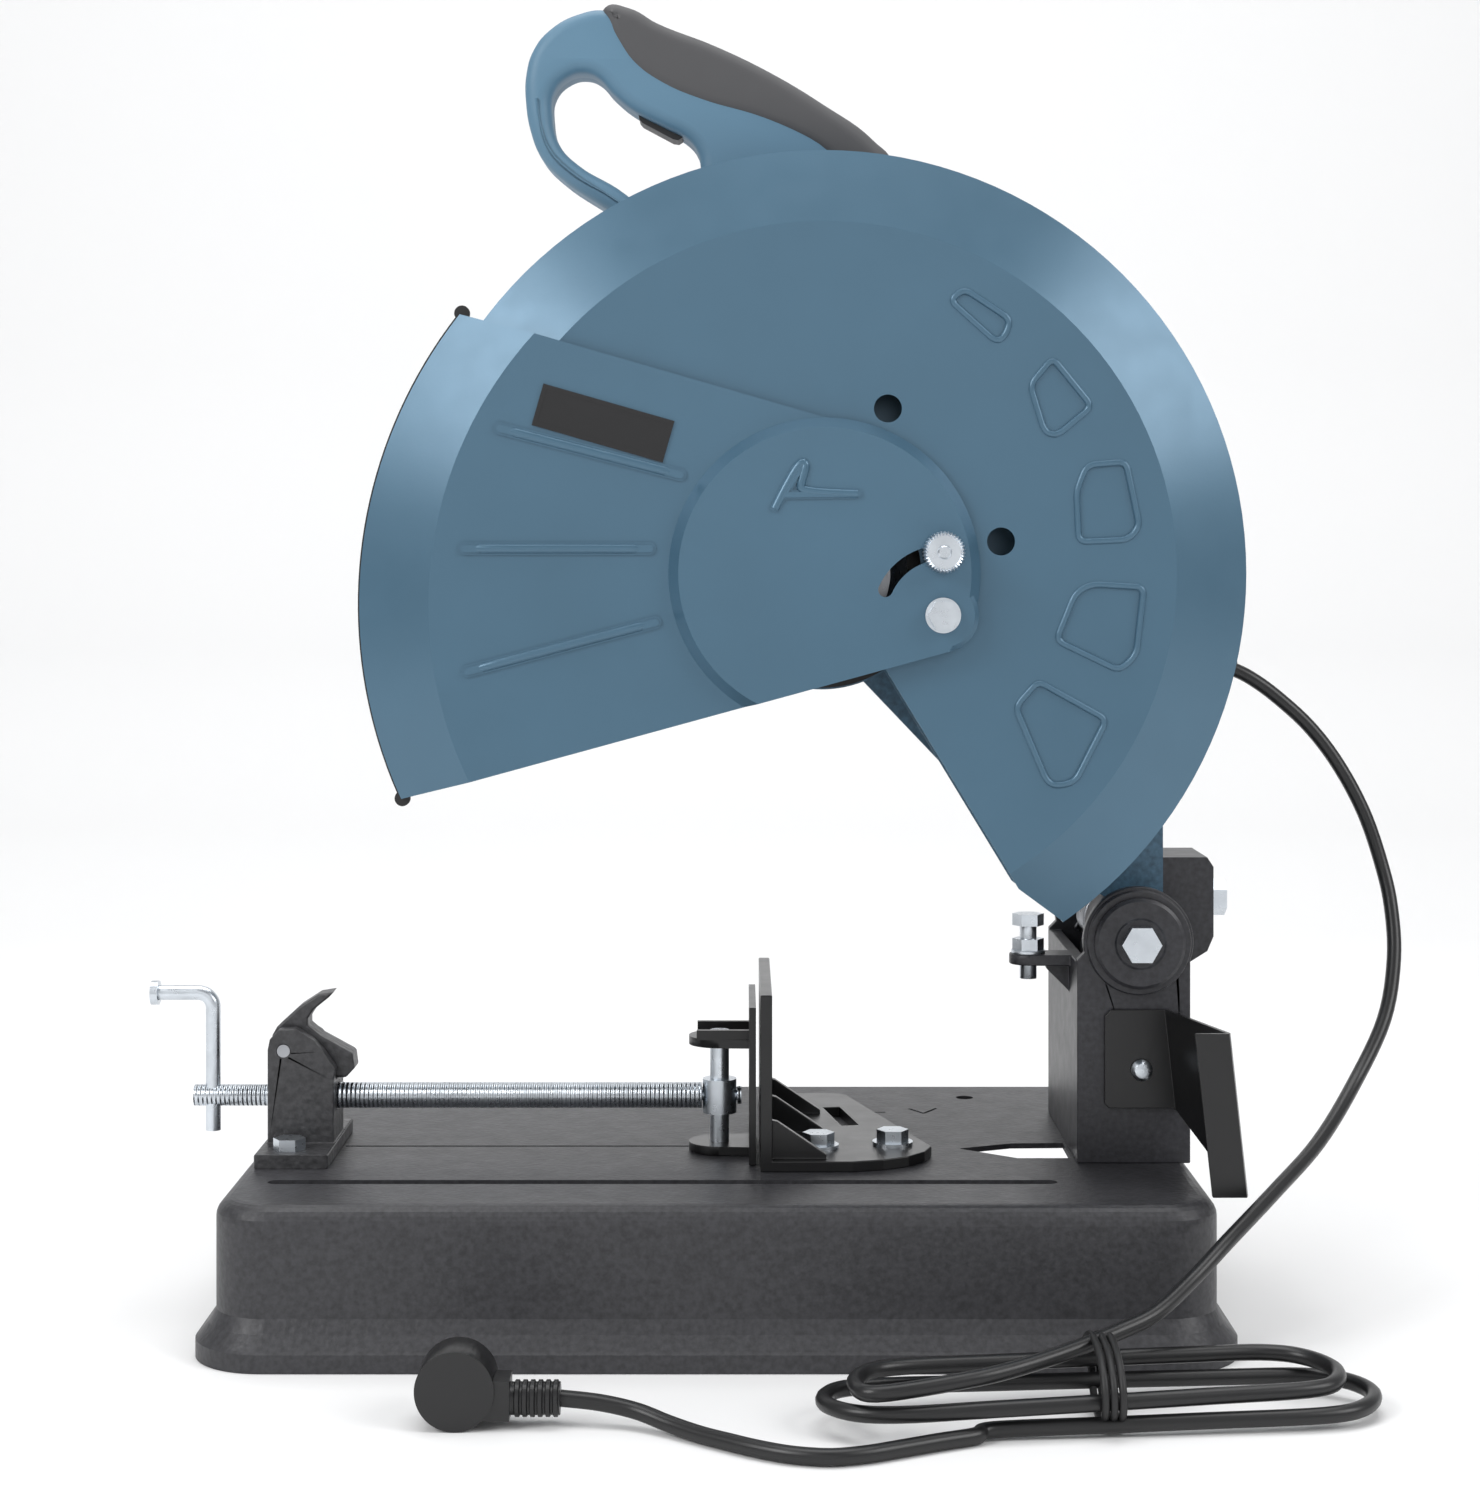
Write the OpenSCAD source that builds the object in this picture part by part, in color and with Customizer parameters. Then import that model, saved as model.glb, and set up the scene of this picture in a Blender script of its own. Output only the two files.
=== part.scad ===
// Abrasive chop saw for 355 mm wheels: pressed base, hinge stand, screw vise, guarded head with motor.
// X runs from the crank (left) to the hinge stand (right), Y away from the guard side, Z up.
// The origin is on the floor, in the middle of the base.

/* [Base] */
// Height of the table above the floor
table_z = 69; // [66:1:72]
// Half of the table's length between its walls
table_half_x = 220; // [218:1:222]
// Half of the table's depth between its walls
table_half_y = 139; // [137:1:141]
// Radius of the pan's corners in plan
corner_r = 25; // [22:1:28]
// Thickness of the pressed steel
pan_wall = 2.5; // [2:0.5:3]

/* [Wheel and guard] */
// Middle of the wheel along X
wheel_x = 47.5; // [47:0.5:48]
// Height of the wheel's centre
wheel_z = 342.5; // [342:0.5:343]
// Outer radius of the fixed guard
guard_r = 190; // [189:1:191]
// Radius of the fixed guard's flat face
guard_face_r = 156; // [155:1:158]
// Outer radius of the front guard's arc
front_guard_r = 210.5; // [210:0.5:211]
// Thickness of the guards' sheet
sheet = 1.5; // [1.2:0.1:1.6]

/* [Hinge] */
// Pivot along X
pivot_x = 195; // [194:1:196]
// Height of the pivot
pivot_z = 171.5; // [171:0.5:172]
// Radius of the pivot shaft
shaft_r = 10; // [9:0.5:10]

/* [Vise] */
// Height of the vise spindle
vise_z = 95; // [94.5:0.5:95.5]
// Middle of the vise along Y
vise_y = -23; // [-24:1:-22]
// Radius of the vise spindle
vise_r = 6; // [5.5:0.5:6]

/* [Hidden] */

$fn = 64;
fit = 0.06;             // radial running clearance of a shaft in its hole
gap = 0.4;              // clearance between pieces that move past each other

// Planes of the head along Y, from the moving guard's hub back to the motor's end
hub_y = -120;           // front of the moving guard's raised middle
front_face_y = -114;    // front of the moving guard's sheet
face_y = -110;          // front of the fixed guard
rim_y = -92;            // where its conical band ends
wheel_y = -90;          // middle of the wheel
split_rim_y = -82;      // where the fixed guard's two shells meet
back_y = -72;           // back of the fixed guard, front of the gear housing
cover_y = -25;          // back of the gear housing, front of the gear cover
motor_y = -19;          // front of the motor housing
cap_y = 78;             // front of the end cap
end_y = 118;            // back of the end cap

// Motor axis, at the gears' centre distance from the wheel spindle
gear_module = 2;
gear_teeth = 40;
pinion_teeth = 10;
axis_gap = gear_module * (gear_teeth + pinion_teeth) / 2;
motor_turn = 32.8;
motor_x = wheel_x + axis_gap * cos(motor_turn);
motor_z = wheel_z + axis_gap * sin(motor_turn);
motor_r = 56;
brush_y = 87;
lock_y = -58;

// Front guard: its arc's centre, its hinge and the arc slot of its thumb screw
arc_x = 50.5;
arc_z = 328.5;
hinge_x = 99.3;
hinge_z = 324.2;
slot_r = 27.6;
slot_sweep = 66;

blue = [0.26, 0.42, 0.53];
light_blue = [0.36, 0.52, 0.63];
charcoal = [0.2, 0.2, 0.21];
black = [0.09, 0.09, 0.1];
zinc = [0.78, 0.8, 0.82];
steel = [0.6, 0.61, 0.62];

// ---- helpers ------------------------------------------------------------------------------------------

// A solid from an outline in X and Z, between two planes of Y
module plate_y(y0, y1) {
    translate([0, y1, 0]) rotate([90, 0, 0]) linear_extrude(y1 - y0) children();
}

// A cylinder along Y
module rod_y(x, z, r, y0, y1) {
    translate([x, y0, z]) rotate([-90, 0, 0]) cylinder(r = r, h = y1 - y0);
}

// A cylinder along X
module rod_x(y, z, r, x0, x1) {
    translate([x0, y, z]) rotate([0, 90, 0]) cylinder(r = r, h = x1 - x0);
}

// A cylinder along Z
module rod_z(x, y, r, z0, z1) {
    translate([x, y, z0]) cylinder(r = r, h = z1 - z0);
}

// A box from its lowest to its highest corner
module box(low, high) {
    translate(low) cube(high - low);
}

// A solid turned about an axis along Y; points are radius and Y
module turned_y(x, z, points) {
    translate([x, 0, z]) rotate([90, 0, 0]) rotate_extrude($fn = 128) polygon([for (p = points) [p[0], -p[1]]]);
}

// Part of a turn about an axis along Y, from one angle to another, measured from +X towards +Z
module turned_y_arc(x, z, from, to, points) {
    translate([x, 0, z]) rotate([90, 0, 0]) rotate([0, 0, from])
        rotate_extrude(angle = to - from, $fn = 128) polygon([for (p = points) [p[0], -p[1]]]);
}

// A hexagon head along Z, with its width across flats
module hex_z(x, y, flats, z0, z1) {
    translate([x, y, z0]) cylinder(r = flats / sqrt(3), h = z1 - z0, $fn = 6);
}

// A hexagon head along Y
module hex_y(x, z, flats, y0, y1) {
    translate([x, y0, z]) rotate([-90, 0, 0]) cylinder(r = flats / sqrt(3), h = y1 - y0, $fn = 6);
}

// A rounded rectangle in plan, from the half distances between its corner centres
module rounded_plan(half_x, half_y, r) {
    square([2 * half_x, 2 * (half_y + r)], center = true);
    square([2 * (half_x + r), 2 * half_y], center = true);
    for (sx = [-1, 1], sy = [-1, 1]) translate([sx * half_x, sy * half_y]) circle(r);
}

// An outline of radius and height, swept round a rectangle of corner centres
module round_sweep(half_x, half_y, points) {
    for (turn = [0, 1, 2, 3]) {
        run = turn % 2 == 0 ? 2 * half_y : 2 * half_x;
        out = turn % 2 == 0 ? half_x : half_y;
        rotate([0, 0, 90 * turn]) {
            translate([out, run / 2, 0]) rotate([90, 0, 0]) linear_extrude(run) polygon(points);
            translate([out, run / 2, 0]) rotate_extrude(angle = 90) polygon(points);
        }
    }
}

// A raised bead in two steps on a face that looks along -Y, from one point to another
module bead_y(from, to, r, y) {
    run = to - from;
    for (step = [[r, 0.8], [0.6 * r, 1.5]]) plate_y(y - step[1], y + 0.6)
        translate(from) rotate(atan2(run[1], run[0])) {
            translate([0, -step[0]]) square([norm(run), 2 * step[0]]);
            for (x = [0, norm(run)]) translate([x, 0]) circle(step[0], $fn = 24);
        }
}

// Points of an arc from one angle to another
function arc(x, y, r, from, to, steps) =
    [for (i = [0:steps]) [x + r * cos(from + (to - from) * i / steps), y + r * sin(from + (to - from) * i / steps)]];

// Outline of a spur gear with short straight-sided teeth and running backlash
function gear_points(teeth, phase) =
    let (pitch_r = gear_module * teeth / 2, tooth = [[-1.6, -2], [-0.7, 1.2], [0.7, 1.2], [1.6, -2]])
    [for (i = [0:teeth - 1]) for (c = tooth)
        let (r = pitch_r + c[1], turn = phase + i * 360 / teeth + asin(c[0] / r)) [r * cos(turn), r * sin(turn)]];

// Points of a closed curve through hand-chosen points, with the given steps between each two
function smooth_loop(p, steps) =
    [for (i = [0:len(p) - 1]) for (k = [0:steps - 1])
        let (n = len(p), t = k / steps, a = p[(i + n - 1) % n], b = p[i], c = p[(i + 1) % n], d = p[(i + 2) % n])
        0.5 * (2 * b + (c - a) * t + (2 * a - 5 * b + 4 * c - d) * t * t + (3 * b - 3 * c + d - a) * t * t * t)];

// A tube of one polyhedron swept along points, by rings that stand square to the path
function unit(v) = v / norm(v);
function path_way(p, i) = unit(p[min(i + 1, len(p) - 1)] - p[max(i - 1, 0)]);
function smooth_at(p, i, t) =
    let (a = p[max(i - 1, 0)], b = p[i], c = p[i + 1], d = p[min(i + 2, len(p) - 1)])
    0.5 * (2 * b + (c - a) * t + (2 * a - 5 * b + 4 * c - d) * t * t + (3 * b - 3 * c + d - a) * t * t * t);
function smooth_path(p, steps) = concat(
    [for (i = [0:len(p) - 2]) for (k = [0:steps - 1]) smooth_at(p, i, k / steps)], [p[len(p) - 1]]);
module tube(path, r, sides) {
    rings = [for (i = [0:len(path) - 1])
        let (way = path_way(path, i), aside = unit(cross(way, abs(way[2]) > 0.95 ? [0, 1, 0] : [0, 0, 1])),
             over = cross(aside, way))
        for (k = [0:sides - 1]) path[i] + r * (aside * cos(360 * k / sides) + over * sin(360 * k / sides))];
    last = len(path) - 1;
    polyhedron(rings, concat(
        [[for (k = [0:sides - 1]) k]],
        [for (i = [0:last - 1]) for (k = [0:sides - 1])
            [i * sides + k, (i + 1) * sides + k, (i + 1) * sides + (k + 1) % sides, i * sides + (k + 1) % sides]],
        [[for (k = [sides - 1:-1:0]) last * sides + k]]), convexity = 10);
}

// ---- base ---------------------------------------------------------------------------------------------

pan_half_x = table_half_x - corner_r;
pan_half_y = table_half_y - corner_r;
foot_x = 195;
foot_y = 114;
bench_x = 127;
bench_y = 102.5;
fence_bolt = [[47, -40.5], [82, -34]];
block_bolt = [[-198.5, -52], [-198.5, 6]];
stand_bolt = [[181, -34], [204, -34], [181, 48], [204, 48]];
table_bolt = concat(fence_bolt, block_bolt, stand_bolt);
bolt_r = 4;
groove_y = -90;

module base_pan() {
    t = pan_wall;
    r = corner_r;
    wall = concat(
        arc(r - 8, table_z - 8, 8, 90, 0, 6),
        [[r, 21], [r + 3, 15], [r + 8, 9], [r + 9, 8], [r + 9, 0], [r + 6.5, 0], [r + 6.5, 7.5], [r + 5.6, 7.9],
            [r + 0.7, 14], [r - t, 20.5]],
        arc(r - 8, table_z - 8, 8 - t, 0, 90, 6));
    color(charcoal) difference() {
        union() {
            round_sweep(pan_half_x, pan_half_y, wall);
            translate([0, 0, table_z - t]) linear_extrude(t) rounded_plan(pan_half_x, pan_half_y, r - 8);
            translate([0, 0, 3]) linear_extrude(t) intersection() {
                rounded_plan(pan_half_x, pan_half_y, r + 8);
                for (sx = [-1, 1], sy = [-1, 1]) translate([sx * (foot_x + 8), sy * (foot_y + 8)])
                    square([62, 62], center = true);
            }
            box([-201, groove_y - 7, table_z - 5], [152, groove_y + 7, table_z - 1]);
        }
        translate([0, 0, table_z - 2.5]) linear_extrude(5) {
            translate([-198, groove_y - 4]) square([347, 8]);
            for (x = [-198, 149]) translate([x, groove_y]) circle(4, $fn = 24);
        }
        translate([0, 0, table_z - 0.8]) linear_extrude(5) {
            translate([-178, -16.2]) square([164, 2.4]);
            for (turn = [60, 120]) translate([104, 62]) rotate([0, 0, turn]) square([14, 1.6]);
            translate([72, 64]) square([12, 1.6]);
        }
        translate([0, 0, table_z - 10]) linear_extrude(20)
            polygon([[115, -20], [140, -9], [165, -8], [165, -41], [140, -41], [115, -21]]);
        box([118, 100, 24], [195, 160, 44]);
        for (x = [-bench_x, bench_x]) rod_z(x, bench_y, 4.5, table_z - 10, table_z + 10);
        for (p = table_bolt) rod_z(p[0], p[1], bolt_r, table_z - 10, table_z + 10);
        for (sx = [-1, 1], sy = [-1, 1]) rod_z(sx * foot_x, sy * foot_y, 4, -1, 12);
    }
}

module rubber_feet() {
    color(black) for (sx = [-1, 1], sy = [-1, 1]) translate([sx * foot_x, sy * foot_y, 0])
        rotate_extrude() polygon([[0, 0], [12, 0], [13, 1], [13, 3], [4, 3], [4, 3 + pan_wall], [6, 3 + pan_wall],
            [6, 7], [5, 8.5], [0, 8.5]]);
}

stand_x0 = 166.5;
stand_x1 = 219;
stand_y0 = -52.4;
stand_y1 = 66;
stand_wall = 6;
stop_x = 147.2;
stop_y = -20;
tab_z = 157;
tab_t = 5;
screw_x = 195.9;
screw_z = 112.8;

module hinge_stand() {
    ear_r = 25.5;
    color(charcoal) difference() {
        union() {
            for (y = [stand_y0, stand_y1 - stand_wall]) plate_y(y, y + stand_wall) {
                translate([stand_x0, table_z]) square([stand_x1 - stand_x0, 142 - table_z]);
                polygon([[stand_x0, 140], [stand_x1, 140], [stand_x1, 165], [pivot_x + 20, pivot_z],
                    [pivot_x - 20, pivot_z], [stand_x0, 163]]);
                translate([pivot_x, pivot_z]) circle(ear_r);
            }
            box([stand_x0, stand_y0, table_z], [stand_x0 + stand_wall, stand_y1, tab_z + tab_t]);
            box([stand_x1 - stand_wall, stand_y0, table_z], [stand_x1, stand_y1, 150]);
            box([stand_x0, stand_y0, table_z], [stand_x1, stand_y1, table_z + 5]);
            rod_y(pivot_x, pivot_z, 24, stand_y0 - 3.1, stand_y0 + 1);
            rod_y(pivot_x, pivot_z, 24, stand_y1 - 1, stand_y1 + 3.1);
            translate([0, 0, tab_z]) linear_extrude(tab_t) {
                translate([stop_x, stop_y - 9]) square([stand_x0 + 3 - stop_x, 18]);
                translate([stop_x, stop_y]) circle(9);
            }
            plate_y(stop_y - 2.5, stop_y + 2.5) polygon([[stand_x0 + 1, tab_z - 14], [stand_x0 + 1, tab_z + 1],
                [stand_x0 - 11, tab_z + 1], [stand_x0 - 11, tab_z - 2]]);
        }
        rod_y(pivot_x, pivot_z, shaft_r, stand_y0 - 10, stand_y1 + 10);
        rod_z(stop_x, stop_y, bolt_r, tab_z - 5, tab_z + 10);
        rod_y(screw_x, screw_z, 3, stand_y0 - 5, stand_y0 + 10);
        for (p = stand_bolt) rod_z(p[0], p[1], bolt_r, table_z - 5, table_z + 10);
    }
}

module pivot_shaft() {
    color(steel) difference() {
        rod_y(pivot_x, pivot_z, shaft_r, stand_y0 - 3.1, stand_y1 + 3.1);
        rod_y(pivot_x, pivot_z, 4, stand_y0 - 5, stand_y0 + 14);
        rod_y(pivot_x, pivot_z, 4, stand_y1 - 14, stand_y1 + 5);
    }
}

module pivot_caps() {
    color(black) for (end = [[stand_y0 - 3.1, -1], [stand_y1 + 3.1, 1]])
        turned_y(pivot_x, pivot_z, [[4, end[0]], [21, end[0]], [21, end[0] + 2.5 * end[1]],
            [19.5, end[0] + 3.5 * end[1]], [12, end[0] + 3.5 * end[1]], [11, end[0] + 3 * end[1]],
            [4, end[0] + 3 * end[1]]]);
}

module pivot_bolts() {
    color(zinc) for (end = [[stand_y0 - 6.1, -1], [stand_y1 + 6.1, 1]]) {
        y = end[0];
        rod_y(pivot_x, pivot_z, 4, min(y, y - 14 * end[1]), max(y, y - 14 * end[1]));
        hex_y(pivot_x, pivot_z, 16, min(y, y + 5.5 * end[1]), max(y, y + 5.5 * end[1]));
    }
}

// A coil spring round the pivot shaft, with a leg at each end
module torsion_spring() {
    turns = 5;
    coil_r = 14.5;
    pitch = 5.6;
    y0 = 27;
    coil = [for (i = [0:12 * turns]) let (turn = 200 - 30 * i)
        [pivot_x + coil_r * cos(turn), y0 + pitch * i / 12, pivot_z + coil_r * sin(turn)]];
    last = coil[len(coil) - 1];
    first = [pivot_x - 17, y0 - 0.5, pivot_z - 36];
    color(steel) tube(concat([first], coil, [last + [-1, 3, -3], [last[0] - 1, stand_y1 - stand_wall, last[2] - 4]]), 2, 8);
}

module stop_bolt() {
    color(zinc) {
        rod_z(stop_x, stop_y, bolt_r, 150, 175.2);
        hex_z(stop_x, stop_y, 13, 175.2, 180.7);
        difference() {
            union() {
                rod_z(stop_x, stop_y, 8, tab_z + tab_t, tab_z + tab_t + 1.5);
                hex_z(stop_x, stop_y, 13, tab_z + tab_t + 1.5, tab_z + tab_t + 7);
            }
            rod_z(stop_x, stop_y, bolt_r, 140, 170);
        }
    }
}

// Bent sheet: a front plate on the stand, a wing towards the wheel and a return flange at its end
module spark_deflector() {
    t = 2;
    y0 = stand_y0 - t - gap;
    wing_turn = 6.2;
    color(black) difference() {
        union() {
            plate_y(y0, y0 + t) polygon([[179, 97], [181, 95], [213, 95], [208, 140.5], [182, 140.5], [179, 137.5]]);
            intersection() {
                translate([208, 0, 140.5]) rotate([0, -wing_turn, 0]) translate([-208, 0, -140.5])
                    translate([0, 0, 60]) linear_extrude(90) polygon([[206, y0 + t], [208.6, y0 + t], [226, -115.5],
                        [225, -118.5], [210, -118.5], [210, -116.5], [223.8, -116.5], [206.8, y0], [206, y0]]);
                translate([180, 0, 0]) rotate([90, 0, 90]) linear_extrude(70)
                    polygon([[y0 + t, 95], [y0 + t, 140.5], [-119, 140.5], [-119, 68.5], [-112, 68.5]]);
            }
        }
        rod_y(screw_x, screw_z, 3 + fit, y0 - 5, y0 + 5);
    }
}

// ---- fence and vise -----------------------------------------------------------------------------------

fence_x = 19.6;
fence_t = 5.4;
fence_y0 = -71;
fence_y1 = 48;
fence_top = 149.8;

module fence() {
    color(black) difference() {
        union() {
            translate([0, 0, table_z]) linear_extrude(5) {
                polygon([[fence_x, -71], [62, -71], [76, -67], [88, -60], [96, -50], [100, -38], [65, 84],
                    [60, 89], [fence_x, 89]]);
            }
            plate_y(fence_y0, fence_y1) translate([fence_x, table_z]) square([fence_t, fence_top - table_z]);
            for (y = [-66, -8, 36]) plate_y(y, y + 4)
                polygon([[fence_x, table_z], [50, table_z], [50, 76], [fence_x + 8, 91], [fence_x, 93]]);
        }
        for (p = fence_bolt) rod_z(p[0], p[1], bolt_r, table_z - 5, table_z + 12);
        translate([0, 0, table_z - 5]) linear_extrude(20) {
            translate([68, 10]) rotate([0, 0, 100]) square([44, 8.6]);
        }
    }
}

module fence_washers() {
    y = table_z + 5;
    color(zinc) for (p = fence_bolt) difference() {
        rod_z(p[0], p[1], 9.5, y, y + 1.6);
        rod_z(p[0], p[1], bolt_r, y - 1, y + 3);
    }
}

// Bolts and nuts of the fence, vise block and stand, and the spark deflector's screw
module table_bolts() {
    seat = [6.6, 6.6, 6.4, 6.4, 5, 5, 5, 5];
    color(zinc) for (i = [0:7]) {
        x = table_bolt[i][0];
        y = table_bolt[i][1];
        low = table_z - pan_wall;
        rod_z(x, y, bolt_r, low - 10, table_z + seat[i]);
        hex_z(x, y, 13, table_z + seat[i], table_z + seat[i] + 5.5);
        hex_z(x, y, 13, low - 6.5, low);
    }
    color(zinc) {
        rod_y(screw_x, screw_z, 3, stand_y0 - 3, stand_y0 + 8);
        turned_y(screw_x, screw_z, [[0, stand_y0 - 3], [5, stand_y0 - 3], [5, stand_y0 - 4.2],
            [3.4, stand_y0 - 6.2], [0, stand_y0 - 6.4]]);
    }
}

block_x0 = -211;
block_x1 = -180;
block_y0 = vise_y - 16;
block_y1 = vise_y + 16;
lever_x = -203.5;
lever_z = 118.6;
lever_y0 = vise_y - 7.5;
lever_y1 = vise_y + 7.5;

module vise_block() {
    color(charcoal) difference() {
        union() {
            box([block_x0 - 2, -64, table_z], [block_x1 + 1, 18, table_z + 6.4]);
            plate_y(block_y0, block_y1) polygon([[block_x0, table_z], [block_x0, 119], [block_x0 + 1, 124],
                [block_x0 + 5, 128.5], [-198, 129], [-190, 124], [-185.3, 118.6], [-179.2, 110], [block_x1, 104.7],
                [block_x1, table_z]]);
        }
        box([block_x0 + 4, lever_y0 - gap, 104], [block_x1 + 5, lever_y1 + gap, 140]);
        box([block_x0 - 5, lever_y0 - gap, 109], [block_x1 + 5, lever_y1 + gap, 140]);
        rod_x(vise_y, vise_z, vise_r + fit, block_x0 - 5, block_x1 + 5);
        rod_y(lever_x, lever_z, 3, block_y0 - 5, block_y1 + 5);
        for (p = block_bolt) rod_z(p[0], p[1], bolt_r, table_z - 5, table_z + 12);
    }
}

module lever_pin() {
    color(steel) rod_y(lever_x, lever_z, 3, block_y0, block_y1);
}

// Horn-shaped lever over the spindle: lifting it frees the thread for quick travel
module quick_release_lever() {
    color(charcoal) difference() {
        plate_y(lever_y0, lever_y1) {
            polygon([[-210, 115], [-210.3, 124.5], [-208, 128.5], [-204.2, 132], [-197.6, 138], [-188.7, 143.7],
                [-181.7, 144.8], [-183.6, 142.3], [-190.6, 136.7], [-193.4, 132.4], [-193.4, 129.2],
                [-187.8, 124.5], [-172.3, 116], [-171.4, 109], [-175.6, 104.5], [-192, 104.5], [-200, 110.5]]);
        }
        rod_y(lever_x, lever_z, 3 + fit, lever_y0 - 5, lever_y1 + 5);
    }
}

jaw_x = 0.6;
pin_r = 4.5;
tip_r = 2.5;
jaw_face_x = 17.7;

module jaw_outline(back) {
    translate([jaw_x, vise_y]) circle(14.5);
    polygon([[jaw_x, vise_y - 14.5], [jaw_face_x, vise_y - back], [jaw_face_x, vise_y + back],
        [jaw_x, vise_y + 14.5]]);
}

module movable_jaw() {
    color(black) difference() {
        union() {
            translate([0, 0, 69.5]) linear_extrude(4) jaw_outline(15.5);
            translate([0, 0, 119.6]) linear_extrude(4) jaw_outline(15.5);
            box([jaw_face_x - 3.2, -58, 69.5], [jaw_face_x, 12, 142]);
            box([-10, vise_y - 14.5, 123.5], [jaw_face_x - 2, vise_y - 11.5, 128]);
            box([-10, vise_y + 11.5, 123.5], [jaw_face_x - 2, vise_y + 14.5, 128]);
        }
        rod_z(jaw_x, vise_y, pin_r + fit, 60, 135);
    }
}

module jaw_pin() {
    color(zinc) difference() {
        union() {
            rod_z(jaw_x, vise_y, pin_r, 69.8, 126);
            rod_z(jaw_x, vise_y, 8, vise_z - 8, vise_z + 8);
        }
        rod_x(vise_y, vise_z, tip_r + fit, jaw_x - 20, jaw_x + 20);
    }
}

crank_x = -239.4;
crank_z = 143.5;
rod_r = 3.5;

module vise_spindle() {
    color(zinc) difference() {
        union() {
            rod_x(vise_y, vise_z, vise_r, -213, jaw_x - 8 - gap);
            rod_x(vise_y, vise_z, 5, -248, -212);
            rod_x(vise_y, vise_z, tip_r, -20, jaw_x + 8 + gap + 1);
            rod_x(vise_y, vise_z, 4.2, jaw_x + 8 + gap, jaw_x + 8 + gap + 2);
        }
        rod_z(crank_x, vise_y, rod_r, vise_z - 20, vise_z + 20);
    }
}

module crank_handle() {
    bend = 7;
    color(zinc) {
        rod_z(crank_x, vise_y, rod_r, 78.5, crank_z - bend);
        translate([crank_x - bend, vise_y, crank_z - bend]) rotate([90, 0, 0])
            rotate_extrude(angle = 90) translate([bend, 0]) circle(rod_r);
        rod_x(vise_y, crank_z, rod_r, -266, crank_x - bend);
        rod_x(vise_y, crank_z, 5.7, -268.5, -265);
    }
}

// ---- head: housing and arm ----------------------------------------------------------------------------

web_y0 = -22;
web_y1 = 22;
barrel_r = 15.5;
arm_bolt_z = 186;
relief_from = [210, 8, 312];
relief_to = [250, 8, 295.5];

module housing_outline() {
    translate([wheel_x, wheel_z]) circle(53);
    translate([motor_x, motor_z]) circle(60);
    polygon([[12, 360], [12, 432], [102, 432], [130, 412], [125, 360], [70, 310]]);
}

module arm_outline() {
    polygon([[65, 295], [147, 209], [151.5, 206.5], [185.6, 187.6], [211, 179], [211, 222], [207, 232],
        [204, 297.8], [215.1, 324.4], [206, 335], [150, 376], [95, 345]]);
}

module lug_outline() {
    translate([pivot_x, pivot_z]) circle(barrel_r);
    polygon([[pivot_x, pivot_z - barrel_r], [212, 156], [224, 158], [232, 163], [235, 170], [235, 203], [232, 207.5],
        [211, 207.5], [211, 179], [pivot_x, 179]]);
}

module gear_housing() {
    color(blue) difference() {
        union() {
            plate_y(back_y, cover_y) housing_outline();
            plate_y(-44, web_y0) intersection() {
                arm_outline();
                translate([0, 236]) square([300, 200]);
            }
            plate_y(web_y0, web_y1) difference() {
                arm_outline();
                lug_outline();
            }
        }
        plate_y(back_y + 6, cover_y + 1) {
            translate([wheel_x, wheel_z]) circle(45);
            translate([motor_x, motor_z]) circle(26);
        }
        plate_y(-53, cover_y + 1) translate([motor_x, motor_z]) circle(motor_r - 6);
        rod_y(wheel_x, wheel_z, 53, cover_y, web_y1 + 1);
        rod_y(motor_x, motor_z, motor_r + 2.5, cover_y, web_y1 + 1);
        rod_y(wheel_x, wheel_z, 17.5, back_y - 1, back_y + 8);
        rod_x(0, arm_bolt_z, 4, 192, 215);
        rod_x(lock_y, wheel_z, 4 + fit, wheel_x - 60, wheel_x - 40);
        rod_x(lock_y, wheel_z, 7.4, wheel_x - 70, wheel_x - 48.5);
    }
}

module gear_cover() {
    color(blue) difference() {
        union() {
            plate_y(cover_y, motor_y) {
                translate([wheel_x, wheel_z]) circle(51);
                translate([motor_x, motor_z]) circle(motor_r);
            }
            rod_y(wheel_x, wheel_z, 19, cover_y - 2, cover_y + 1);
        }
        rod_y(wheel_x, wheel_z, 14, cover_y - 5, cover_y + 4);
        rod_y(motor_x, motor_z, 14, cover_y - 5, motor_y + 5);
    }
}

module pivot_arm() {
    color(black) difference() {
        union() {
            plate_y(web_y0, web_y1) lug_outline();
            rod_y(pivot_x, pivot_z, barrel_r, -44, web_y1);
        }
        rod_y(pivot_x, pivot_z, shaft_r + fit, stand_y0 - 5, stand_y1);
        rod_x(0, arm_bolt_z, 4, 185, 240);
    }
}

module arm_bolts() {
    color(zinc) {
        rod_x(0, arm_bolt_z, 4, 192, 237);
        rod_x(0, arm_bolt_z, 9, 235, 237);
        translate([237, 0, arm_bolt_z]) rotate([0, 90, 0]) cylinder(r = 8.7, h = 7, $fn = 6);
    }
}

// ---- head: guards -------------------------------------------------------------------------------------

guard_hole = [[75.7, 415.5], [125.7, 356.7]];
window = [
    [[103, 463.5], [109.5, 468.5], [130, 455], [127.5, 447.5], [123.5, 445]],
    [[138.5, 426], [148.5, 438], [166, 416.5], [150.5, 403.5], [145, 405]],
    [[159, 379], [163.5, 390.5], [181, 392], [187, 363.5], [182, 357.5], [160, 356.5]],
    [[150, 313], [158.5, 334], [166, 338], [189, 336.5], [185.5, 306.5], [178, 299.5]],
    [[132, 283.5], [142, 295], [172.5, 278], [158.5, 250.5], [150.5, 248.5], [146, 250.5]]
];

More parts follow.
